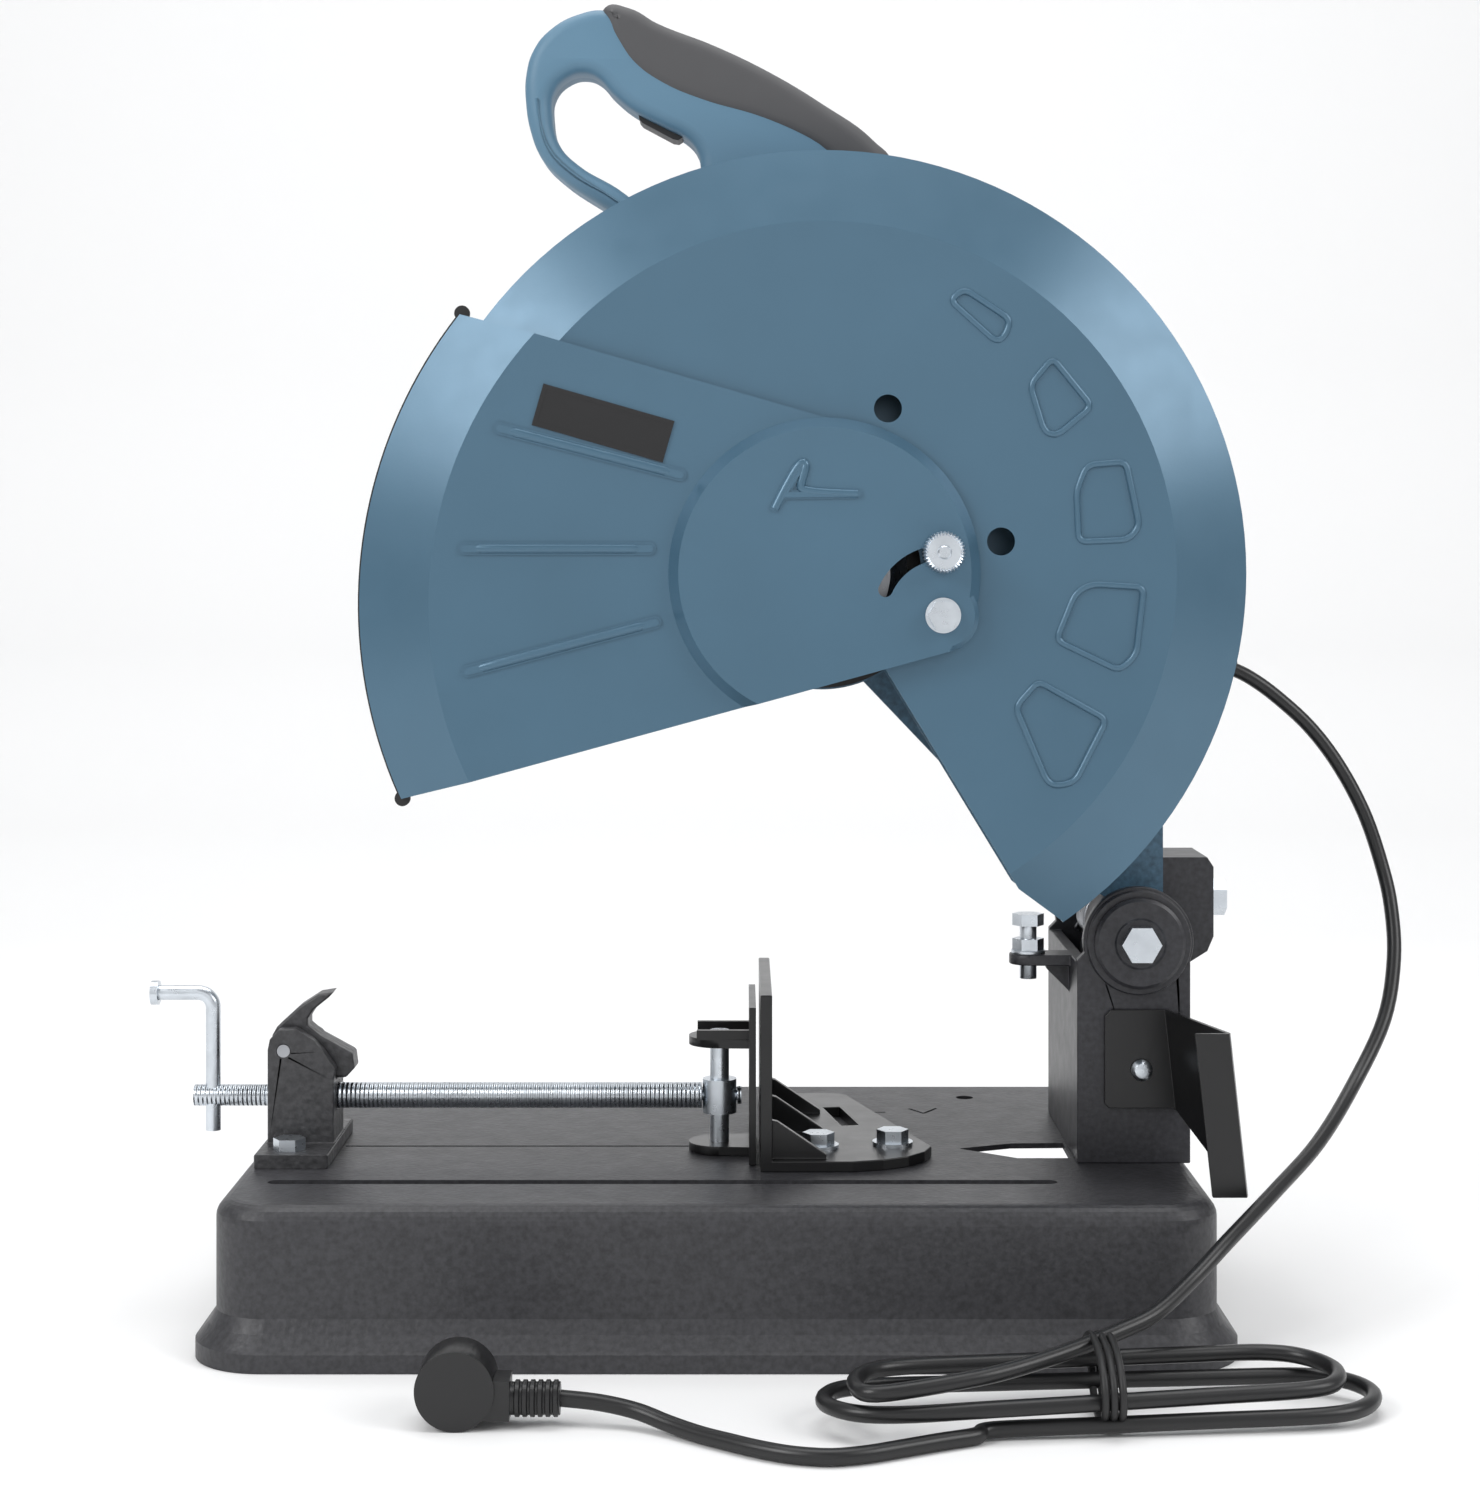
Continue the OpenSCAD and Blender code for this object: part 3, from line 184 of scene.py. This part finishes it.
class Finish:
    """A node material whose colour, roughness and relief come from textures in object coordinates."""

    def __init__(self, name, colour, roughness, metallic=0.0, specular=0.5, coat=0.0):
        self.material = bpy.data.materials.new(name)
        self.material.use_nodes = True
        self.nodes = self.material.node_tree.nodes
        self.links = self.material.node_tree.links
        self.shader = self.nodes["Principled BSDF"]
        self.shader.inputs["Base Color"].default_value = colour
        self.shader.inputs["Roughness"].default_value = roughness
        self.shader.inputs["Metallic"].default_value = metallic
        self.shader.inputs["Specular IOR Level"].default_value = specular
        self.shader.inputs["Coat Weight"].default_value = coat
        self.shader.inputs["Coat Roughness"].default_value = 0.25
        self.place = self.nodes.new("ShaderNodeTexCoord").outputs["Object"]
        self.colour = colour
        self.roughness = roughness
        self.height = None

    def noise(self, scale, detail=3.0, stretch=(1, 1, 1)):
        mapping = self.nodes.new("ShaderNodeMapping")
        mapping.inputs["Scale"].default_value = stretch
        self.links.new(self.place, mapping.inputs["Vector"])
        texture = self.nodes.new("ShaderNodeTexNoise")
        texture.inputs["Scale"].default_value = scale
        texture.inputs["Detail"].default_value = detail
        self.links.new(mapping.outputs["Vector"], texture.inputs["Vector"])
        return texture.outputs["Fac"]

    def cells(self, scale):
        texture = self.nodes.new("ShaderNodeTexVoronoi")
        texture.feature = "SMOOTH_F1"
        texture.inputs["Scale"].default_value = scale
        self.links.new(self.place, texture.inputs["Vector"])
        return texture.outputs["Distance"]

    def bands(self, scale, direction="X"):
        texture = self.nodes.new("ShaderNodeTexWave")
        texture.bands_direction = direction
        texture.inputs["Scale"].default_value = scale
        self.links.new(self.place, texture.inputs["Vector"])
        return texture.outputs["Fac"]

    def ramp(self, fac, low, high, start=0.3, end=0.7):
        node = self.nodes.new("ShaderNodeValToRGB")
        node.color_ramp.elements[0].position = start
        node.color_ramp.elements[0].color = low
        node.color_ramp.elements[1].position = end
        node.color_ramp.elements[1].color = high
        self.links.new(fac, node.inputs["Fac"])
        return node.outputs["Color"]

    def tint(self, fac, amount, start=0.3, end=0.7):
        """Varies the colour by a share of its own value."""
        low = tuple(c * (1 - amount) for c in self.colour[:3]) + (1,)
        high = tuple(min(c * (1 + amount), 1) for c in self.colour[:3]) + (1,)
        self.links.new(self.ramp(fac, low, high, start, end), self.shader.inputs["Base Color"])
        return self

    def dull(self, fac, amount):
        """Varies the roughness by an amount each way."""
        node = self.nodes.new("ShaderNodeMapRange")
        node.inputs["To Min"].default_value = max(self.roughness - amount, 0.03)
        node.inputs["To Max"].default_value = min(self.roughness + amount, 1.0)
        self.links.new(fac, node.inputs["Value"])
        self.links.new(node.outputs["Result"], self.shader.inputs["Roughness"])
        return self

    def relief(self, fac, distance, strength=0.5):
        """Adds a bump of a height in metres."""
        node = self.nodes.new("ShaderNodeBump")
        node.inputs["Distance"].default_value = distance
        node.inputs["Strength"].default_value = strength
        self.links.new(fac, node.inputs["Height"])
        if self.height is not None:
            self.links.new(self.height, node.inputs["Normal"])
        self.height = node.outputs["Normal"]
        self.links.new(self.height, self.shader.inputs["Normal"])
        return self


def sheet_paint(name, colour):
    """Sprayed enamel on sheet steel, with a faint orange peel and cloudy dust."""
    paint = Finish(name, colour, 0.34, metallic=0.35, coat=0.25)
    paint.tint(paint.noise(9, 4), 0.06).dull(paint.noise(60, 5), 0.07)
    return paint.relief(paint.noise(700), 0.00006, 0.35)


def hammered(name, colour, cell, depth, roughness=0.42):
    """Powder coat or rough casting with a hammered surface."""
    coat = Finish(name, colour, roughness, metallic=0.1)
    coat.tint(coat.noise(400, 3), 0.3).dull(coat.noise(90, 4), 0.08)
    return coat.relief(coat.cells(cell), depth, 0.6).relief(coat.noise(2 * cell, 3), depth / 2, 0.5)


def moulded(name, colour, roughness=0.5):
    """Moulded plastic with a fine spark texture."""
    plastic = Finish(name, colour, roughness)
    plastic.tint(plastic.noise(14, 3), 0.05).dull(plastic.noise(150, 3), 0.05)
    return plastic.relief(plastic.noise(1800, 2), 0.00005, 0.4)


def plated(name, colour, roughness, streak=(1, 1, 1)):
    """Bright zinc or ground steel, with streaks and faint stains."""
    metal = Finish(name, colour, roughness, metallic=1.0)
    metal.tint(metal.noise(60, 4), 0.12).dull(metal.noise(300, 3, streak), 0.1)
    return metal.relief(metal.noise(900, 2, streak), 0.00004, 0.4)


GUARD_BLUE = sheet_paint("guard_enamel", srgb(70, 103, 124))
HEAD_BLUE = hammered("head_enamel", srgb(60, 90, 110), 500, 0.0001)
BASE_COAT = hammered("base_hammered_coat", srgb(52, 52, 55), 420, 0.00025, 0.45)
STAND_COAT = hammered("stand_coat", srgb(46, 46, 50), 700, 0.00008, 0.4)
BLACK_PAINT = sheet_paint("black_enamel", srgb(24, 24, 25))
CAST_COAT = hammered("cast_coat", srgb(58, 58, 60), 330, 0.0006, 0.4)
CASE_PLASTIC = moulded("case_plastic", srgb(88, 124, 147))
BLACK_PLASTIC = moulded("black_plastic", srgb(26, 26, 27))
GRIP_RUBBER = moulded("grip_rubber", srgb(74, 74, 76), 0.62)
FOOT_RUBBER = moulded("foot_rubber", srgb(22, 22, 22), 0.8)
CORD_JACKET = moulded("cord_jacket", srgb(25, 25, 26), 0.35)
ZINC = plated("bright_zinc", srgb(206, 212, 218), 0.3)
STEEL = plated("ground_steel", srgb(160, 162, 166), 0.3, (1, 12, 1))
COPPER = plated("copper", srgb(190, 120, 76), 0.35)
CARBON = moulded("carbon", srgb(30, 30, 32), 0.6)
SCREW_ZINC = plated("threaded_zinc", srgb(206, 212, 218), 0.28)
SCREW_ZINC.relief(SCREW_ZINC.bands(150), 0.0006, 0.9)
BADGE = moulded("badge_black", srgb(16, 16, 18), 0.25)

FINISH_OF_NODE = {
    "base_pan": BASE_COAT, "hinge_stand": STAND_COAT, "pivot_arm": STAND_COAT, "pivot_caps": STAND_COAT,
    "spark_deflector": BLACK_PAINT, "fence": BLACK_PAINT, "movable_jaw": BLACK_PAINT,
    "bearing_plate": BLACK_PAINT,
    "vise_block": CAST_COAT, "quick_release_lever": CAST_COAT, "badge_plate": BADGE,
    "guard_front_shell": GUARD_BLUE, "guard_back_shell": GUARD_BLUE, "front_guard": GUARD_BLUE,
    "gear_housing": HEAD_BLUE, "gear_cover": HEAD_BLUE, "motor_housing": CASE_PLASTIC,
    "handle_front_half": CASE_PLASTIC, "handle_rear_half": CASE_PLASTIC, "soft_grip": GRIP_RUBBER,
    "rubber_feet": FOOT_RUBBER, "end_cap": BLACK_PLASTIC, "switch_block": BLACK_PLASTIC,
    "trigger": BLACK_PLASTIC,
    "lock_off_button": BLACK_PLASTIC, "spindle_lock": BLACK_PLASTIC, "brush_caps": BLACK_PLASTIC,
    "cooling_fan": BLACK_PLASTIC, "front_guard_trim": BLACK_PLASTIC, "vise_spindle": SCREW_ZINC,
    "commutator": COPPER, "carbon_brushes": CARBON, "strain_relief": CORD_JACKET, "cord_lead": CORD_JACKET,
    "cord_bundle": CORD_JACKET, "cord_tail": CORD_JACKET, "plug_body": CORD_JACKET,
}
STEEL_NODES = ["pivot_shaft", "torsion_spring", "lever_pin", "wheel_spindle", "spindle_gear", "inner_flange",
               "outer_flange", "ball_bearings", "stator", "armature_shaft", "armature_core"]
SOFTENED = {
    "fence": 0.6, "movable_jaw": 0.6, "vise_block": 1.2, "quick_release_lever": 1.2, "hinge_stand": 1.0,
    "gear_housing": 1.5, "pivot_arm": 1.5, "spark_deflector": 0.4, "table_bolts": 0.4, "pivot_bolts": 0.5,
    "stop_bolt": 0.4, "arm_bolts": 0.5, "guard_hinge_bolt": 0.4, "plug_body": 2.0, "trigger": 0.8,
}


def paint_cad():
    for name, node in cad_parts.items():
        finish = FINISH_OF_NODE.get(name, STEEL if name in STEEL_NODES else ZINC)
        node.data.materials.clear()
        node.data.materials.append(finish.material)
    for name, width in SOFTENED.items():
        soften(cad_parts[name], width)


# ---- pieces ----------------------------------------------------------------------------------------------

# Outlines of the handle in millimetres of X and Z
HANDLE = [
    (-51.5, 601), (-64, 599.2), (-76.5, 592.5), (-84.5, 583), (-88, 571), (-88, 558), (-86, 546),
    (-81, 533.5), (-71.5, 523.5), (-51.5, 510), (-20.5, 489), (-3, 474), (2, 455), (2, 432.5), (46, 432.5),
    (90, 432.5), (93, 460), (93, 491), (87.5, 518), (71.5, 534), (48, 551), (23, 566), (-2, 578), (-28, 588),
    (-40.5, 596),
]
FINGER_HOLE = [
    (-76, 553), (-75, 563.5), (-68, 570.5), (-61, 572), (-55, 570), (-47.5, 562.2), (-38.9, 555.2),
    (-24, 547.3), (-13.8, 541.8), (-9.2, 536), (-7.8, 529), (-7.8, 508), (-12.5, 500.5), (-20.5, 501),
    (-46, 519.3), (-64, 530), (-72.5, 539),
]
GRIP = [
    (-51.8, 602.4), (-40.2, 602), (-27.8, 595.2), (-1.8, 585), (23.3, 573), (48.4, 558), (72, 541), (79, 531),
    (62, 525.5), (40.5, 538.5), (19.6, 547.8), (-8.3, 556.1), (-26.8, 564), (-40, 573.5), (-47, 583),
    (-52, 594),
]
HANDLE_ROUNDING = 0.006
GRIP_ROUNDING = 0.007
GRIP_PROUD = 0.001
# the front half stops short of the lock-off button, whose inner end is 5.4 mm behind the joint when pressed
FRONT_PAST_JOINT = 0.005
REAR_PAST_JOINT = 0.006


def grown(loop, by):
    """The loop moved outwards, for a loop whose points go either way round."""
    area = sum(a[0] * b[1] - b[0] * a[1] for a, b in zip(loop, loop[1:] + loop[:1]))
    side = 1 if area > 0 else -1
    moved = []
    for i, (x, z) in enumerate(loop):
        (ax, az), (bx, bz) = loop[i - 1], loop[(i + 1) % len(loop)]
        run = math.hypot(bx - ax, bz - az)
        moved.append((x + side * by * (bz - az) / run, z - side * by * (bx - ax) / run))
    return moved


def make_handle():
    low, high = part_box("handle_front_half")
    split = high.y
    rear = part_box("handle_rear_half")[1].y
    front = rounded_plate("handle_front_shell", [HANDLE, FINGER_HOLE], low.y, split + FRONT_PAST_JOINT,
                          HANDLE_ROUNDING)
    back = rounded_plate("handle_rear_shell", [grown(HANDLE, -0.2), grown(FINGER_HOLE, 0.2)],
                         split - REAR_PAST_JOINT, rear, HANDLE_ROUNDING)
    cover = rounded_plate("grip_cover", [GRIP], low.y - GRIP_PROUD, rear + GRIP_PROUD, GRIP_ROUNDING)
    front_half = keep("handle_front_shell", front, "head", CASE_PLASTIC.material)
    rear_half = keep("handle_rear_shell", back, "head", CASE_PLASTIC.material)
    grip = keep("grip_cover", cover, "head", GRIP_RUBBER.material)
    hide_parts("handle_front_half")
    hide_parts("handle_rear_half")
    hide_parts("soft_grip")


# Straight pressings and the arrow of the moving guard, in millimetres of X and Z
BEADS = [((-95.5, 406.5), (-16, 386)), ((-111, 353.5), (-29.5, 353.5)), ((-109.5, 299.5), (-27, 321))]
ARROW = [(25.5, 371), (30, 380), (36, 390), (39, 390), (37, 381), (40, 379), (50, 378), (62, 377.5)]
BEAD_FACE = -0.1138
BEAD_R = 2.4
BEAD_STEPS = 12
BEAD_TIP = math.sqrt(0.02)
ARROW_FACE = -0.1198
ARROW_R = 0.0021


def on_face(point, y):
    """A point of X and Z in millimetres, on a plane of Y."""
    return Vector((point[0] * MM, y, point[1] * MM))


def make_beads():
    """Rounded pressings over the stepped ones of the moving guard."""
    for i, (a, b) in enumerate(BEADS):
        start, end = on_face(a, BEAD_FACE), on_face(b, BEAD_FACE)
        line = [start.lerp(end, t / BEAD_STEPS) for t in range(BEAD_STEPS + 1)]
        curve = tube_curve(f"guard_bead_{i}", line, BEAD_R * MM)
        for k in (0, BEAD_STEPS):
            curve.splines[0].points[k].radius = BEAD_TIP
        keep(f"guard_bead_{i}", curve, "moving_guard", GUARD_BLUE.material)
    arrow = smooth_line([on_face(point, ARROW_FACE) for point in ARROW], 4)
    keep("guard_arrow", tube_curve("guard_arrow", arrow, ARROW_R), "moving_guard",
         GUARD_BLUE.material)


WINDOWS = [
    [(103, 463.5), (109.5, 468.5), (130, 455), (127.5, 447.5), (123.5, 445)],
    [(138.5, 426), (148.5, 438), (166, 416.5), (150.5, 403.5), (145, 405)],
    [(159, 379), (163.5, 390.5), (181, 392), (187, 363.5), (182, 357.5), (160, 356.5)],
    [(150, 313), (158.5, 334), (166, 338), (189, 336.5), (185.5, 306.5), (178, 299.5)],
    [(132, 283.5), (142, 295), (172.5, 278), (158.5, 250.5), (150.5, 248.5), (146, 250.5)],
]


LIP_R = 0.0016


def make_window_rims():
    """Rolled lips round the five pressed panels of the fixed guard."""
    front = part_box("guard_front_shell")[0].y
    for i, outline in enumerate(WINDOWS):
        corners = [Vector((x * MM, front + 0.0006, z * MM)) for x, z in outline]
        line = []
        for k, corner in enumerate(corners):
            before, after = corners[k - 1], corners[(k + 1) % len(corners)]
            start = corner.lerp(before, min(0.45, 0.004 / (before - corner).length))
            end = corner.lerp(after, min(0.45, 0.004 / (after - corner).length))
            for t in range(7):
                t = t / 6
                line.append(start.lerp(corner, t).lerp(corner.lerp(end, t), t))
        lip = tube_curve(f"panel_lip_{i}", line, LIP_R, closed=True)
        keep(f"panel_lip_{i}", lip, "head", GUARD_BLUE.material)


def make_thumb_screw():
    low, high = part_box("thumb_screw")
    x, z = (low.x + high.x) / 2, (low.z + high.z) / 2
    profile = [(0.5, 0), (2.4, 0), (3, 0.6), (3.2, 1.4), (7.2, 1.4), (8.4, 0.6), (9.2, 1.8), (9.2, 9.8),
               (8.6, 10.4), (3, 10.4), (2.8, 29)]
    shape = turned("knurled_thumb_screw", profile, (x, low.y, z), (0, 1, 0), 144, 72, 0.55)
    knob = keep("knurled_thumb_screw", shape, "guard_screw", ZINC.material)
    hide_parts("thumb_screw")


def make_spring():
    low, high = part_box("pivot_shaft")
    x, z = (low.x + high.x) / 2, (low.z + high.z) / 2
    r = 0.0145
    coil = [Vector((x - 0.017, 0.0265, z - 0.036)), Vector((x - 0.0163, 0.0268, z - 0.016))]
    for i in range(121):
        turn = math.radians(200 - 15 * i)
        coil.append(Vector((x + r * math.cos(turn), 0.027 + 0.0056 * i / 24, z + r * math.sin(turn))))
    coil.append(coil[-1] + Vector((-0.001, 0.003, -0.003)))
    spring = keep("return_spring", tube_curve("return_spring", coil, 0.0019), "base", STEEL.material)
    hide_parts("torsion_spring")


# The cord's route in millimetres: down from the head, over to the hank, and from the hank to the plug
CORD_R = 3.4
LEAD = [
    (250, 8, 295.5), (258, 8, 291.5), (270, 8.5, 283), (286.6, 9, 268), (300.6, 8, 249.5), (312.4, 5, 226.5),
    (320, 1, 202), (323, -6, 182), (322, -16, 158.5), (314, -30, 132), (295, -50, 105), (271.5, -84, 85.5),
    (245, -119, 71.5), (218.5, -152, 58), (200, -170, 46), (182, -188, 37),
]
BRIDGE = [(165, -199, 32.5), (145, -212, 29), (122, -226, 26), (100, -236, 24)]
TAIL = [
    (103, -241, 3.5), (88, -248, 3.5), (72.5, -256, 3.5), (58, -263, 3.5), (44.5, -266, 3.5),
    (30, -263, 3.5), (17, -256, 3.5), (6, -248, 3.5), (-5.5, -239, 3.5), (-18, -229, 4.5), (-31, -221, 7),
    (-46, -218, 9.5), (-62, -217, 11),
]
# The hank's turns are long loops: a round end, a straight side, the other end and the side back
HANK_TURNS = 2
HANK_STEPS = 16
HANK_MIDDLE = (157, -209)
HANK_HALF = 79
HANK_R = 22
HANK_SIDE_STEP = 42
HANK_LEAN = math.atan2(24, 177)
HANK_TOP = 21.5
HANK_DROP = 18


def hank_points():
    """The tied loops, from the top turn down to the floor, left along the front and right along the back."""
    points = []
    total = HANK_STEPS * HANK_TURNS
    for i in range(total):
        k = i % HANK_STEPS
        done = i / total
        if k < 5:
            turn = math.radians(-90 - 45 * k)
            s, n = -HANK_HALF + HANK_R * math.cos(turn), HANK_R * math.sin(turn)
        elif k < 8:
            s, n = -HANK_HALF + HANK_SIDE_STEP * (k - 4), HANK_R
        elif k < 13:
            turn = math.radians(90 - 45 * (k - 8))
            s, n = HANK_HALF + HANK_R * math.cos(turn), HANK_R * math.sin(turn)
        else:
            s, n = HANK_HALF - HANK_SIDE_STEP * (k - 12), -HANK_R
        lean = HANK_LEAN + math.radians(4 - 7 * done)
        s *= 1.06 - 0.1 * math.sin(2.2 * math.pi * done)
        x = HANK_MIDDLE[0] + s * math.cos(lean) - n * math.sin(lean)
        y = HANK_MIDDLE[1] + s * math.sin(lean) + n * math.cos(lean)
        points.append((x, y, HANK_TOP - HANK_DROP * done))
    return points


TIE_MIDDLE = Vector((0.153, -0.2095, 0.0172))
TIE_TURNS = 3
TIE_STEPS = 40
TIE_PITCH = 0.0035
TIE_R = 0.0016


def make_tie():
    """A thin tie wound round the hank."""
    tie = []
    for k in range(TIE_TURNS * TIE_STEPS + 1):
        turn = 2 * math.pi * k / TIE_STEPS
        tie.append(TIE_MIDDLE + Vector((TIE_PITCH * k / TIE_STEPS, 0.0285 * math.cos(turn),
                                        0.0155 * math.sin(turn))))
    shape = tube_curve("cord_tie", tie, TIE_R)
    return keep("cord_tie", shape, "base", BLACK_PLASTIC.material)


def make_plug_ribs():
    """Ribs round the plug's tail."""
    profile = [(6.4, 0), (7.3, 0.5), (7.3, 2), (6.4, 2.5)]
    ribs = []
    for i in range(6):
        rib = turned(f"plug_rib_{i}", profile, (-0.0805 + 0.0031 * i, -0.217, 0.011), (1, 0, 0))
        ribs.append(keep(f"plug_rib_{i}", rib, "base", CORD_JACKET.material))
    return ribs


def make_cord():
    route = [Vector(p) * MM for p in LEAD + BRIDGE + hank_points()[1:] + TAIL]
    line = smooth_line(route, 6)
    cord = bpy.data.objects.new("power_cord", as_mesh(tube_curve("power_cord", line, CORD_R * MM)))
    bpy.context.scene.collection.objects.link(cord)
    cord.data.materials.append(CORD_JACKET.material)
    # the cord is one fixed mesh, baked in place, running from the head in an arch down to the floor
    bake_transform(cord)
    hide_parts("cord_lead", "cord_bundle", "cord_tail")
    wrap = make_tie()
    ribs = make_plug_ribs()


def make_strain_relief():
    start = Vector((0.210, 0.008, 0.312))
    way = Vector((0.250, 0.008, 0.2955)) - start
    run = way.length / MM
    profile = [(8, 0), (8, 2.6), (7.6, 3), (6.6, 3)]
    for i in range(7):
        d = 6 + (run - 8) * i / 7
        r = 6.6 - 2.0 * i / 7
        profile += [(r, d), (r, d + 2.6), (r - 0.7, d + 2.9), (r - 0.7, d + 4.2)]
    profile += [(4.3, run)]
    shape = turned("ribbed_strain_relief", profile, start, way)
    boot = keep("ribbed_strain_relief", shape, "head", CORD_JACKET.material)
    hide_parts("strain_relief")


# ---- studio ----------------------------------------------------------------------------------------------

def make_floor():
    floor = bmesh.new()
    depth = [(-3, 0), (1.2, 0), (1.6, 0.06), (1.9, 0.24), (2.05, 0.6), (2.1, 1.2), (2.1, 4)]
    rows = [[floor.verts.new((x, y, z - 0.0002)) for x in (-4, 4)] for y, z in depth]
    for low, high in zip(rows, rows[1:]):
        floor.faces.new((low[0], low[1], high[1], high[0]))
    mesh = bpy.data.meshes.new("floor")
    floor.to_mesh(mesh)
    floor.free()
    mesh.shade_smooth()
    piece = bpy.data.objects.new("floor", mesh)
    bpy.context.scene.collection.objects.link(piece)
    paper = Finish("floor_paper", (0.86, 0.86, 0.86, 1), 0.75, specular=0.2)
    paper.relief(paper.noise(120, 3), 0.0001, 0.1)
    mesh.materials.append(paper.material)


def area_light(name, place, target, size, power, tone=(1, 1, 1)):
    data = bpy.data.lights.new(name, "AREA")
    data.shape = "RECTANGLE"
    data.size, data.size_y = size
    data.energy = power
    data.color = tone
    light = bpy.data.objects.new(name, data)
    light.location = place
    light.rotation_euler = (Vector(target) - Vector(place)).to_track_quat("-Z", "Y").to_euler()
    bpy.context.scene.collection.objects.link(light)


def make_studio():
    area_light("left_softbox", (-1.7, -1.5, 1.6), (0, 0, 0.3), (1.2, 1.2), 32)
    area_light("right_softbox", (1.9, -1.1, 1.5), (0, 0, 0.3), (1.1, 1.2), 22)
    area_light("overhead", (0, 0.2, 2.6), (0, 0, 0.2), (2.4, 2.0), 44)
    area_light("front_fill", (0, -2.8, 0.9), (0, 0, 0.3), (2.0, 1.2), 6)
    world = bpy.data.worlds.new("studio")
    world.use_nodes = True
    world.node_tree.nodes["Background"].inputs["Color"].default_value = (0.92, 0.93, 0.95, 1)
    world.node_tree.nodes["Background"].inputs["Strength"].default_value = 0.42
    bpy.context.scene.world = world
    bpy.context.scene.view_settings.view_transform = "Standard"


def make_camera():
    data = bpy.data.cameras.new("camera")
    data.lens = 65.1
    data.shift_y = -0.125
    camera = bpy.data.objects.new("camera", data)
    camera.location = (0.0103, -1.309, 0.3474)
    camera.rotation_euler = (math.radians(90), 0, 0)
    bpy.context.scene.collection.objects.link(camera)
    bpy.context.scene.camera = camera


make_camera()
make_cord()
paint_cad()
make_handle()
make_beads()
make_window_rims()
make_thumb_screw()
make_spring()
make_strain_relief()
make_floor()
make_studio()
